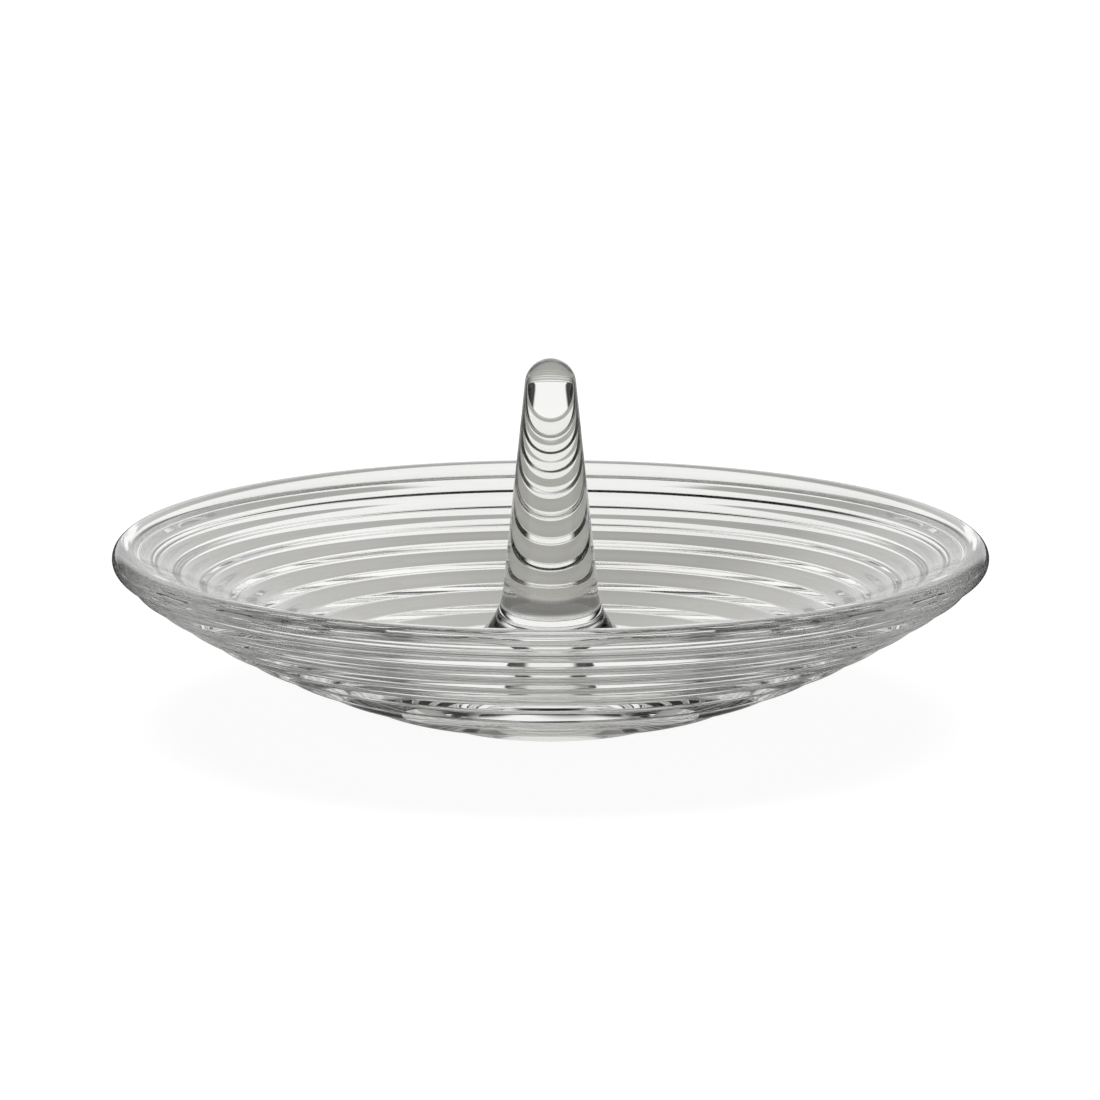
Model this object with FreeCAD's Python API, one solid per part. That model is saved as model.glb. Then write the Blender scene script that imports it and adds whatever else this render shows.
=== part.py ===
import FreeCAD, Part
import math
import os

# Ring dish: a shallow pressed-glass saucer with a ring post at its centre. The saucer is smooth inside
# and has graded rings pressed into its under side.
# Millimetres. Z points up, the foot rests on Z = 0 and the Z axis is the axis of the dish.

V = FreeCAD.Vector

# Saucer, under side
DISH_RADIUS = 60.0           # widest place, at the rim
FOOT_RADIUS = 16.0           # flat disc that the dish stands on
UNDER_ARC_RADIUS = 122.0     # the ridges of all the rings lie on this arc
UNDER_START_SLOPE = 14.1     # degrees, slope of that arc at the edge of the foot

# Rings pressed into the under side, counted from the rim inwards
RING_COUNT = 8
OUTER_RIDGE_RADIUS = 56.55   # ridge of the ring next to the rim
FIRST_PITCH = 2.8            # from that ridge to the next one inwards
PITCH_GROWTH = 0.545         # each pitch is this much longer than the one before it
LEDGE_SLOPE = 14.0           # degrees, of the ledge that ends at each ridge
LEDGE_SHARE = 0.5            # part of its pitch that a ledge takes

# Rim
RIM_ROUND = 2.0              # outer side of the rim, above and below its upright edge
RIM_INNER_ROUND = 1.0        # inner side of the rim
RIM_FLAT = 0.25              # between the upper outer round and the inner one
RIM_TOP_HEIGHT = 24.65
RIM_EDGE = 0.3               # upright edge between the two outer rounds
RIM_LEDGE = 0.5              # ledge under the rim, from its cove to below the middle of the rim

# Saucer, upper side
FLOOR_HEIGHT = 9.3           # at the edge of the post's foot
FLOOR_SLOPE = 13.6           # degrees, at the same place

# Ring post
OVERALL_HEIGHT = 49.85
POST_FOOT_RADIUS = 18.8
FLARE_ROUND = 10.0           # hollow curve from the foot into the cone
TIP_ROUND = 3.5              # round tip, which the cone touches
SEAT_DEPTH = 2.0             # recess in the saucer that takes the post's foot

# Clear adhesive
BOND_THICKNESS = 0.15        # below the post's foot and round its edge

# Curves are struck in straight steps, which keeps the model light
RIM_UNDER_STEPS = 3
RIM_OUTER_STEPS = 3
RIM_INNER_STEPS = 1
HOLLOW_STEPS = 5
FLARE_STEPS = 4
TIP_STEPS = 3


def at(r, z):
    return V(r, 0, z)


def heading(degrees):
    return V(math.cos(math.radians(degrees)), 0, math.sin(math.radians(degrees)))


def curve(centre, radius, start, end, steps):
    """Points on an arc about a centre, from one heading to another in degrees."""
    return [centre + heading(start + (end - start) * k / steps) * radius for k in range(steps + 1)]


def revolved(outline):
    face = Part.Face(Part.makePolygon(outline + [outline[0]]))
    return face.revolve(V(0, 0, 0), V(0, 0, 1), 360)


def cylinder(radius, bottom, top):
    return Part.makeCylinder(radius, top - bottom, V(0, 0, bottom))


# The arc of the ridges has its centre past the axis
under_centre = at(FOOT_RADIUS, 0) - heading(UNDER_START_SLOPE - 90) * UNDER_ARC_RADIUS


def under_height(r):
    return under_centre.z - math.sqrt(UNDER_ARC_RADIUS ** 2 - (r - under_centre.x) ** 2)


# Rim: upper and lower outer rounds with a short upright edge between them, a narrow top and an inner round
rim_radius = DISH_RADIUS - RIM_ROUND
rim_top_centre = at(rim_radius, RIM_TOP_HEIGHT - RIM_ROUND)
rim_low_centre = rim_top_centre - V(0, 0, RIM_EDGE)
rim_inner_centre = at(rim_radius - RIM_FLAT, RIM_TOP_HEIGHT - RIM_INNER_ROUND)
rim_touch = rim_low_centre + heading(LEDGE_SLOPE - 90) * RIM_ROUND

# Under side: foot, then a cove, a ledge and a ridge for every ring, then the cove and ledge under the rim
ring_outline = []
ridge = OUTER_RIDGE_RADIUS
for ring in range(RING_COUNT):
    pitch = FIRST_PITCH + PITCH_GROWTH * ring
    corner = at(ridge, under_height(ridge))
    ring_outline = [corner - heading(LEDGE_SLOPE) * (LEDGE_SHARE * pitch), corner] + ring_outline
    ridge -= pitch
dish_outline = [at(0, 0), at(FOOT_RADIUS, 0)] + ring_outline
dish_outline.append(rim_touch - heading(LEDGE_SLOPE) * (rim_touch.x - rim_radius + RIM_LEDGE))

# Upper side: one hollow curve from the edge of the post's foot, which touches the inner round of the rim
floor_edge = at(POST_FOOT_RADIUS, FLOOR_HEIGHT)
floor_normal = heading(FLOOR_SLOPE + 90)
across = rim_inner_centre - floor_edge
rise = across.dot(floor_normal) + RIM_INNER_ROUND
hollow_radius = (across.Length ** 2 - RIM_INNER_ROUND ** 2) / (2 * rise)
hollow_centre = floor_edge + floor_normal * hollow_radius
to_rim = rim_inner_centre - hollow_centre
wall_end = math.degrees(math.atan2(to_rim.z, to_rim.x))

# Saucer, with the recess for the post's foot
seat_radius = POST_FOOT_RADIUS + BOND_THICKNESS
seat_floor = FLOOR_HEIGHT - SEAT_DEPTH
seat_mouth = math.degrees(math.asin((seat_radius - hollow_centre.x) / hollow_radius)) - 90
dish_outline += curve(rim_low_centre, RIM_ROUND, LEDGE_SLOPE - 90, 0, RIM_UNDER_STEPS)
dish_outline += curve(rim_top_centre, RIM_ROUND, 0, 90, RIM_OUTER_STEPS)
dish_outline += curve(rim_inner_centre, RIM_INNER_ROUND, 90, wall_end + 180, RIM_INNER_STEPS)[1:]
dish_outline += curve(hollow_centre, hollow_radius, wall_end, seat_mouth, HOLLOW_STEPS)[1:]
dish_outline += [at(seat_radius, seat_floor), at(0, seat_floor)]
dish = revolved(dish_outline)

# Ring post: foot in the recess, hollow flare that carries on the slope of the floor, cone and round tip
post_bottom = seat_floor + BOND_THICKNESS
flare_centre = floor_edge + floor_normal * FLARE_ROUND
tip_centre = at(0, OVERALL_HEIGHT - TIP_ROUND)
to_tip = tip_centre - flare_centre
touch = math.acos((FLARE_ROUND + TIP_ROUND) / to_tip.Length)
cone_normal = math.degrees(math.atan2(to_tip.z, to_tip.x) + touch)
post_outline = [at(0, post_bottom), at(POST_FOOT_RADIUS, post_bottom)]
post_outline += curve(flare_centre, FLARE_ROUND, FLOOR_SLOPE + 270, cone_normal, FLARE_STEPS)
post_outline += curve(tip_centre, TIP_ROUND, cone_normal - 180, 90, TIP_STEPS)
ring_post = revolved(post_outline)

# Adhesive: a shallow cup that fills the recess below the post's foot and round it
bond_film = cylinder(seat_radius, seat_floor, FLOOR_HEIGHT)
bond_film = bond_film.cut(cylinder(POST_FOOT_RADIUS, post_bottom, OVERALL_HEIGHT))

os.makedirs("parts", exist_ok=True)
dish.exportStep("parts/dish.step")
ring_post.exportStep("parts/ring_post.step")
bond_film.exportStep("parts/bond_film.step")
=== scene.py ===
import math

import bpy
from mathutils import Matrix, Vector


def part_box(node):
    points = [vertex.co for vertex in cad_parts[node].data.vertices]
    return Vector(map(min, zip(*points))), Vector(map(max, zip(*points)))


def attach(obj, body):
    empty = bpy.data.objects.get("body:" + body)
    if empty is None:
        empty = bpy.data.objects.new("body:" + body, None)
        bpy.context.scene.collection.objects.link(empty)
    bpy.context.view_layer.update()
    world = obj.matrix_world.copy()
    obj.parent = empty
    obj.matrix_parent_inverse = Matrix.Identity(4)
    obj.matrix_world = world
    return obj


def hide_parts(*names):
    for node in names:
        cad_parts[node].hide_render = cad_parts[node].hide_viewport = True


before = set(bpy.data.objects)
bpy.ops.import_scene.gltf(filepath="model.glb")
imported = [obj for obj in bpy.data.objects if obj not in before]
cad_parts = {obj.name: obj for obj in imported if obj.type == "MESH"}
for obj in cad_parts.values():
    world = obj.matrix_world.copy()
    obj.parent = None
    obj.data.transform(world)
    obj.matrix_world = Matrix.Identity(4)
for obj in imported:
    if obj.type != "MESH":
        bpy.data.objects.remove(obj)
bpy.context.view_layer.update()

MM = 0.001

# Main sizes of the glass, taken from the solids (millimetres; radius and height along the profile)
dish_low, dish_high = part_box("dish")
DISH_RADIUS = min(dish_high.x, -dish_low.x, dish_high.y, -dish_low.y) / MM
RIM_TOP_HEIGHT = dish_high.z / MM
OVERALL_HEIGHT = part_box("ring_post")[1].z / MM
SEAT_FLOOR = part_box("bond_film")[0].z / MM

# Under side of the saucer: graded ledges whose ridges lie on one arc
FOOT_RADIUS = 16.0           # flat disc that the dish stands on
FOOT_EDGE_ROUND = 0.5
UNDER_ARC_RADIUS = 122.0     # the round ridges of all the rings touch this arc
UNDER_START_SLOPE = 14.1     # degrees, slope of that arc at the edge of the foot
RING_COUNT = 8
OUTER_RIDGE_RADIUS = 56.95   # ridge of the ring next to the rim
FIRST_PITCH = 2.91           # from that ridge to the next one inwards
PITCH_GROWTH = 0.515         # each pitch is this much longer than the one before it
LEDGE_SLOPE = 3.0            # degrees, of the ledge that ends at each ridge
LEDGE_SHARE = 0.63           # part of its pitch that a ledge takes, before the corners are rounded
RIDGE_ROUND = 1.9
RIDGE_PROUD = 0.2            # sharp ridges would stand this far outside the arc that the round ones touch
COVE_ROUND = 2.3

# Rim
RIM_ROUND = 1.95             # outer side of the rim
RIM_INNER_ROUND = 1.0        # inner side of the rim
RIM_FLAT = 0.25              # between the two
RIM_LEDGE = 0.5              # ledge under the rim, from its cove to below the middle of the rim

# Smooth hollow and ring post
FLOOR_HEIGHT = 9.3           # at the edge of the post's foot
FLOOR_SLOPE = 13.6           # degrees, at the same place
POST_FOOT_RADIUS = 18.8
FLARE_ROUND = 10.0           # hollow curve from the foot into the cone
TIP_ROUND = 3.5              # round tip, which the cone touches

# Glass
GLASS_INDEX = 1.5
CLEAR_TINT = (0.985, 0.985, 0.970, 1)
WARM_TINT = (0.965, 0.967, 0.950, 1)
TINT_SCALE = 40.0
TINT_DETAIL = 2.0
POLISH_ROUGHNESS = (0.0, 0.012)

# How finely the glass is laid out
SECTORS = 256
ARC_STEP = 4.0               # degrees of turn for each step along a small round
HOLLOW_STEPS = 70
CONE_STEPS = 40
SHARP_ANGLE = 40.0           # degrees; edges that turn more than this are shaded sharp
LIGHT_BOUNCES = 32           # light passes many faces on its way through the rings

# Camera: the photograph's viewing angle
CAMERA_ELEVATION = 11.56
CAMERA_DISTANCE = 0.959
CAMERA_TARGET = (-0.00007, 0.0, 0.02322)
PHOTO_SIZE = 1100
FOCAL_PIXELS = 7000
SENSOR = 36.0

# Floor, as the camera sees it: white, with a faint shadow
FLOOR_SIZE = 2.4
FLOOR_PLACE = (0, 0, -0.0002)  # just below the foot
FLOOR_PAINT = (0.2, 0.2, 0.2, 1)
FLOOR_GLOW = 0.92
FLOOR_ROUGHNESS = 0.9

# Studio, as seen in the glass: azimuths from straight behind the dish, elevations from the floor
TABLE_GREY = (0.43, 0.425, 0.41, 1)
TABLE_CENTRE = (0, -0.05, 0)   # the grey table is round, and the sheet is white past its edge
TABLE_EDGE = (0.1275, 0.130)
SHEET_WHITE = (0.98, 0.98, 0.98, 1)
SHADE_CENTRE = (0, 0.007, 0)   # less light gets under the foot, a little behind the axis
SHADE_EDGE = (0.008, 0.016)
SHADE_LEVEL = 0.45
DISH_CENTRE = (0, 0, 0)
FRONT_TURN = (70, 100)       # the floor under the dish gets dim between these azimuths,
FRONT_EDGE = (0.022, 0.034)  # from here outwards
FRONT_END = (0.056, 0.072)   # and up to here
FRONT_LEVEL = 0.35
SIDE_SHADE_PLACE = (0.058, 0.068)  # painted shade: the floor seen in the glass goes dark this far to both sides of the axis and the world is dark beside the sheet up to these azimuths
CARD_EDGE = (60, 80)         # and are seen up to these azimuths
DARK_SIDE_LEVEL = 0.015
SHEET_EDGE = (18, 28)        # the white sheet hangs behind the dish up to these azimuths
SHEET_TOP = (36, 58)         # and these elevations, with the dark ceiling above it
SHEET_TILT = 0.4             # its top edge rises to the right
SHEET_LEVEL = 1.0
ROOM_TOP = (10, 50)          # the room at the sides and in front gets darker between these elevations
ROOM_LEVEL = 0.8
SOFTBOX_SIZE = (1.2, 0.8)
SOFTBOX_PLACE = (0, 0.1, 1.2)
SOFTBOX_POWER = 12.0


def point(r, z):
    return (r, z)


def heading(degrees):
    return (math.cos(math.radians(degrees)), math.sin(math.radians(degrees)))


def moved(p, direction, distance):
    return (p[0] + direction[0] * distance, p[1] + direction[1] * distance)


def arc(centre, radius, start, end, steps=None):
    """Points on an arc about a centre, from one heading to another in degrees."""
    steps = steps or max(2, math.ceil(abs(end - start) / ARC_STEP))
    return [moved(centre, heading(start + (end - start) * k / steps), radius) for k in range(steps + 1)]


def rounded(corners, rounds):
    """The line through the corners, with each inner corner turned on an arc of the given radius."""
    line = [corners[0]]
    for before, corner, after, radius in zip(corners, corners[1:], corners[2:], rounds):
        arrive = math.atan2(corner[1] - before[1], corner[0] - before[0])
        leave = math.atan2(after[1] - corner[1], after[0] - corner[0])
        turn = (leave - arrive + math.pi) % (2 * math.pi) - math.pi
        side = math.copysign(1, turn)
        # Two neighbouring rounds share the straight between them, so each takes less than half
        room = 0.499 * min(math.dist(before, corner), math.dist(corner, after))
        radius = min(radius, room / math.tan(abs(turn) / 2))
        start = moved(corner, (-math.cos(arrive), -math.sin(arrive)), radius * math.tan(abs(turn) / 2))
        normal = math.degrees(arrive) + 90 * side
        centre = moved(start, heading(normal), radius)
        line += arc(centre, radius, normal + 180, normal + 180 + math.degrees(turn))
    return line + [corners[-1]]


def lathe(name, outline, bonded):
    """A closed turned piece. The rows of faces where it is bonded get the second material slot."""
    vertices = []
    rows = []
    for r, z in outline:
        if r == 0:
            rows.append([len(vertices)] * SECTORS)
            vertices.append((0.0, 0.0, z * MM))
        else:
            rows.append(range(len(vertices), len(vertices) + SECTORS))
            for k in range(SECTORS):
                angle = 2 * math.pi * k / SECTORS
                vertices.append((r * math.cos(angle) * MM, r * math.sin(angle) * MM, z * MM))
    faces = []
    slots = []
    for index, (low, high) in enumerate(zip(rows, rows[1:])):
        for k in range(SECTORS):
            n = (k + 1) % SECTORS
            faces.append(list(dict.fromkeys((low[k], low[n], high[n], high[k]))))
            slots.append(1 if index in bonded else 0)
    mesh = bpy.data.meshes.new(name)
    mesh.from_pydata(vertices, [], faces)
    mesh.polygons.foreach_set("material_index", slots)
    mesh.shade_smooth()
    mesh.set_sharp_from_angle(angle=math.radians(SHARP_ANGLE))
    piece = bpy.data.objects.new(name, mesh)
    bpy.context.collection.objects.link(piece)
    return piece


# Profile: under side of the saucer
under_centre = moved(point(FOOT_RADIUS, 0), heading(UNDER_START_SLOPE + 90), UNDER_ARC_RADIUS)


def under_heading(r):
    return heading(math.degrees(math.asin((r - under_centre[0]) / UNDER_ARC_RADIUS)) - 90)


rim_radius = DISH_RADIUS - RIM_ROUND
rim_centre = point(rim_radius, RIM_TOP_HEIGHT - RIM_ROUND)
rim_inner_centre = point(rim_radius - RIM_FLAT, RIM_TOP_HEIGHT - RIM_INNER_ROUND)
rim_touch = moved(rim_centre, heading(LEDGE_SLOPE - 90), RIM_ROUND)

ring_corners = []
ridge = OUTER_RIDGE_RADIUS
for ring in range(RING_COUNT):
    pitch = FIRST_PITCH + PITCH_GROWTH * ring
    corner = moved(under_centre, under_heading(ridge), UNDER_ARC_RADIUS + RIDGE_PROUD)
    ring_corners = [moved(corner, heading(LEDGE_SLOPE), -LEDGE_SHARE * pitch), corner] + ring_corners
    ridge -= pitch
corners = [point(0, 0), point(FOOT_RADIUS, 0)] + ring_corners
rounds = [FOOT_EDGE_ROUND] + [COVE_ROUND, RIDGE_ROUND] * RING_COUNT
corners += [moved(rim_touch, heading(LEDGE_SLOPE), rim_radius - RIM_LEDGE - rim_touch[0]), rim_touch]
rounds.append(COVE_ROUND)

# Profile: smooth hollow, from the edge of the post's foot to the rim's round
floor_edge = point(POST_FOOT_RADIUS, FLOOR_HEIGHT)
floor_normal = heading(FLOOR_SLOPE + 90)
across = (rim_inner_centre[0] - floor_edge[0], rim_inner_centre[1] - floor_edge[1])
rise = across[0] * floor_normal[0] + across[1] * floor_normal[1] + RIM_INNER_ROUND
hollow_radius = (math.hypot(*across) ** 2 - RIM_INNER_ROUND ** 2) / (2 * rise)
hollow_centre = moved(floor_edge, floor_normal, hollow_radius)
to_rim = (rim_inner_centre[0] - hollow_centre[0], rim_inner_centre[1] - hollow_centre[1])
wall_end = math.degrees(math.atan2(to_rim[1], to_rim[0]))

# Profile: ring post
flare_centre = moved(floor_edge, floor_normal, FLARE_ROUND)
tip_centre = point(0, OVERALL_HEIGHT - TIP_ROUND)
to_tip = (tip_centre[0] - flare_centre[0], tip_centre[1] - flare_centre[1])
touch = math.acos((FLARE_ROUND + TIP_ROUND) / math.hypot(*to_tip))
cone_normal = math.degrees(math.atan2(to_tip[1], to_tip[0]) + touch)
cone_foot = moved(flare_centre, heading(cone_normal), FLARE_ROUND)
cone_top = moved(tip_centre, heading(cone_normal - 180), TIP_ROUND)
cone_side = (cone_top[0] - cone_foot[0], cone_top[1] - cone_foot[1])

# The saucer ends with its recess and the post starts with its foot: there the two are bonded
recess = [floor_edge, point(POST_FOOT_RADIUS, SEAT_FLOOR), point(0, SEAT_FLOOR)]
saucer_outline = rounded(corners, rounds)
saucer_outline += arc(rim_centre, RIM_ROUND, LEDGE_SLOPE - 90, 90)[1:]
saucer_outline += arc(rim_inner_centre, RIM_INNER_ROUND, 90, wall_end + 180)
saucer_outline += arc(hollow_centre, hollow_radius, wall_end, FLOOR_SLOPE - 90, HOLLOW_STEPS)[1:-1]
saucer_bonded = range(len(saucer_outline), len(saucer_outline) + 2)
saucer_outline += recess
post_bonded = range(2)
post_outline = recess[::-1]
post_outline += arc(flare_centre, FLARE_ROUND, FLOOR_SLOPE + 270, cone_normal)[1:]
post_outline += [moved(cone_foot, cone_side, k / CONE_STEPS) for k in range(1, CONE_STEPS)]
post_outline += arc(tip_centre, TIP_ROUND, cone_normal - 180, 90)[:-1]
post_outline.append(point(0, OVERALL_HEIGHT))

saucer = lathe("saucer_glass", saucer_outline, saucer_bonded)
post = lathe("post_glass", post_outline, post_bonded)
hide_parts("dish")
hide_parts("ring_post", "bond_film")
for piece in (saucer, post):
    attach(piece, "root")


# Helpers for materials: they add to the node tree that is being built
def new_material(name):
    material = bpy.data.materials.new(name)
    material.use_nodes = True
    return material, material.node_tree.nodes, material.node_tree.links


def math_node(operation, *values):
    node = nodes.new("ShaderNodeMath")
    node.operation = operation
    for socket, value in zip(node.inputs, values):
        if isinstance(value, (int, float)):
            socket.default_value = value
        else:
            links.new(value, socket)
    return node.outputs[0]


def fade(value, start, end, low, high):
    node = nodes.new("ShaderNodeMapRange")
    node.interpolation_type = "SMOOTHSTEP"
    links.new(value, node.inputs["Value"])
    node.inputs["From Min"].default_value = start
    node.inputs["From Max"].default_value = end
    node.inputs["To Min"].default_value = low
    node.inputs["To Max"].default_value = high
    return node.outputs["Result"]


def azimuth_of(axes):
    """Angle from straight behind the dish, the same to both sides."""
    return math_node("ARCTAN2", math_node("ABSOLUTE", axes.outputs["X"]), axes.outputs["Y"])


def distance_from(centre):
    """Distance of a place on the floor from the given one."""
    node = nodes.new("ShaderNodeVectorMath")
    node.operation = "DISTANCE"
    links.new(place.outputs["Object"], node.inputs[0])
    node.inputs[1].default_value = centre
    return node.outputs["Value"]


def radians(limits):
    return [math.radians(limit) for limit in limits]


def sines(limits):
    return [math.sin(math.radians(limit)) for limit in limits]


# Clear pressed glass, with a faint warm tint that drifts and a fire-polished surface
glass, nodes, links = new_material("pressed_glass")
shader = nodes["Principled BSDF"]
shader.inputs["IOR"].default_value = GLASS_INDEX
shader.inputs["Transmission Weight"].default_value = 1.0
place = nodes.new("ShaderNodeTexCoord")
drift = nodes.new("ShaderNodeTexNoise")
drift.inputs["Scale"].default_value = TINT_SCALE
drift.inputs["Detail"].default_value = TINT_DETAIL
tint = nodes.new("ShaderNodeMix")
tint.data_type = "RGBA"
tint.inputs["A"].default_value = CLEAR_TINT
tint.inputs["B"].default_value = WARM_TINT
polish = nodes.new("ShaderNodeMapRange")
polish.inputs["To Min"].default_value = POLISH_ROUGHNESS[0]
polish.inputs["To Max"].default_value = POLISH_ROUGHNESS[1]
links.new(place.outputs["Object"], drift.inputs["Vector"])
links.new(drift.outputs["Fac"], tint.inputs["Factor"])
links.new(tint.outputs["Result"], shader.inputs["Base Color"])
links.new(drift.outputs["Fac"], polish.inputs["Value"])
links.new(polish.outputs["Result"], shader.inputs["Roughness"])

# Bonded faces: the adhesive has the index of the glass, so light passes straight through
bond, nodes, links = new_material("bonded_face")
nodes["Principled BSDF"].inputs["Alpha"].default_value = 0.0

for piece in (saucer, post):
    piece.data.materials.append(glass)
    piece.data.materials.append(bond)

# Floor: white to the camera; in the glass, a grey table before the white sheet, with painted shade at
# both sides, under the foot and in front
bpy.ops.mesh.primitive_plane_add(size=FLOOR_SIZE, location=FLOOR_PLACE)
floor = bpy.context.object
floor.name = "floor"
floor_paint, nodes, links = new_material("floor_paint")
shader = nodes["Principled BSDF"]
shader.inputs["Roughness"].default_value = FLOOR_ROUGHNESS
shader.inputs["Specular IOR Level"].default_value = 0.0
shader.inputs["Base Color"].default_value = FLOOR_PAINT
shader.inputs["Emission Color"].default_value = (1, 1, 1, 1)
shader.inputs["Emission Strength"].default_value = FLOOR_GLOW
place = nodes.new("ShaderNodeTexCoord")
axes = nodes.new("ShaderNodeSeparateXYZ")
links.new(place.outputs["Object"], axes.inputs[0])
table = nodes.new("ShaderNodeMix")
table.data_type = "RGBA"
table.inputs["A"].default_value = TABLE_GREY
table.inputs["B"].default_value = SHEET_WHITE
links.new(fade(distance_from(TABLE_CENTRE), *TABLE_EDGE, 0.0, 1.0), table.inputs["Factor"])
# painted shade: the floor seen in the glass goes dark to both sides of the axis
painted_side_shade = fade(math_node("ABSOLUTE", axes.outputs["X"]), *SIDE_SHADE_PLACE, 1.0, DARK_SIDE_LEVEL)
under_foot = fade(distance_from(SHADE_CENTRE), *SHADE_EDGE, SHADE_LEVEL, 1.0)
from_axis = distance_from(DISH_CENTRE)
dimmed = math_node("MULTIPLY", fade(azimuth_of(axes), *radians(FRONT_TURN), 0.0, 1.0 - FRONT_LEVEL),
                   fade(from_axis, *FRONT_EDGE, 0.0, 1.0))
dimmed = math_node("MULTIPLY", dimmed, fade(from_axis, *FRONT_END, 1.0, 0.0))
level = math_node("MULTIPLY", painted_side_shade, under_foot)
level = math_node("MULTIPLY", level, math_node("SUBTRACT", 1.0, dimmed))
seen = nodes.new("ShaderNodeEmission")
links.new(table.outputs["Result"], seen.inputs["Color"])
links.new(level, seen.inputs["Strength"])
ray = nodes.new("ShaderNodeLightPath")
through = math_node("MAXIMUM", ray.outputs["Is Glossy Ray"], ray.outputs["Is Transmission Ray"])
blend = nodes.new("ShaderNodeMixShader")
links.new(through, blend.inputs["Fac"])
links.new(shader.outputs["BSDF"], blend.inputs[1])
links.new(seen.outputs["Emission"], blend.inputs[2])
links.new(blend.outputs["Shader"], nodes["Material Output"].inputs["Surface"])
floor.data.materials.append(floor_paint)

# World: white sheet behind, dark cards beside it, a dimmer room in front and a dark ceiling
world = bpy.data.worlds.new("studio")
bpy.context.scene.world = world
world.use_nodes = True
nodes = world.node_tree.nodes
links = world.node_tree.links
nodes.clear()
direction = nodes.new("ShaderNodeTexCoord")
axes = nodes.new("ShaderNodeSeparateXYZ")
links.new(direction.outputs["Generated"], axes.inputs[0])
azimuth = azimuth_of(axes)
height = math_node("MULTIPLY_ADD", axes.outputs["X"], -SHEET_TILT, axes.outputs["Z"])
sheet = math_node("MULTIPLY", fade(azimuth, *radians(SHEET_EDGE), SHEET_LEVEL, DARK_SIDE_LEVEL),
                  fade(height, *sines(SHEET_TOP), 1.0, 0.0))
room = math_node("MULTIPLY", fade(azimuth, *radians(CARD_EDGE), 0.0, ROOM_LEVEL),
                 fade(axes.outputs["Z"], *sines(ROOM_TOP), 1.0, 0.0))
level = math_node("MAXIMUM", sheet, room)
ray = nodes.new("ShaderNodeLightPath")
level = math_node("MAXIMUM", level, ray.outputs["Is Camera Ray"])
background = nodes.new("ShaderNodeBackground")
background.inputs["Color"].default_value = (1, 1, 1, 1)
links.new(level, background.inputs["Strength"])
output = nodes.new("ShaderNodeOutputWorld")
links.new(background.outputs["Background"], output.inputs["Surface"])

# Soft box overhead
soft_box = bpy.data.lights.new("soft_box", "AREA")
soft_box.shape = "RECTANGLE"
soft_box.size, soft_box.size_y = SOFTBOX_SIZE
soft_box.energy = SOFTBOX_POWER
lamp = bpy.data.objects.new("soft_box", soft_box)
lamp.location = SOFTBOX_PLACE
lamp.visible_glossy = False
lamp.visible_transmission = False
bpy.context.collection.objects.link(lamp)

# Camera
lens = bpy.data.cameras.new("camera")
lens.sensor_width = SENSOR
lens.lens = SENSOR * FOCAL_PIXELS / PHOTO_SIZE
camera = bpy.data.objects.new("camera", lens)
tilt = math.radians(CAMERA_ELEVATION)
camera.location = (CAMERA_TARGET[0], CAMERA_TARGET[1] - CAMERA_DISTANCE * math.cos(tilt),
                   CAMERA_TARGET[2] + CAMERA_DISTANCE * math.sin(tilt))
camera.rotation_euler = (math.pi / 2 - tilt, 0, 0)
bpy.context.collection.objects.link(camera)

scene = bpy.context.scene
scene.camera = camera
scene.view_settings.view_transform = "Standard"
scene.cycles.max_bounces = LIGHT_BOUNCES
scene.cycles.transmission_bounces = LIGHT_BOUNCES
scene.cycles.glossy_bounces = LIGHT_BOUNCES
scene.cycles.transparent_max_bounces = LIGHT_BOUNCES

bpy.context.view_layer.update()
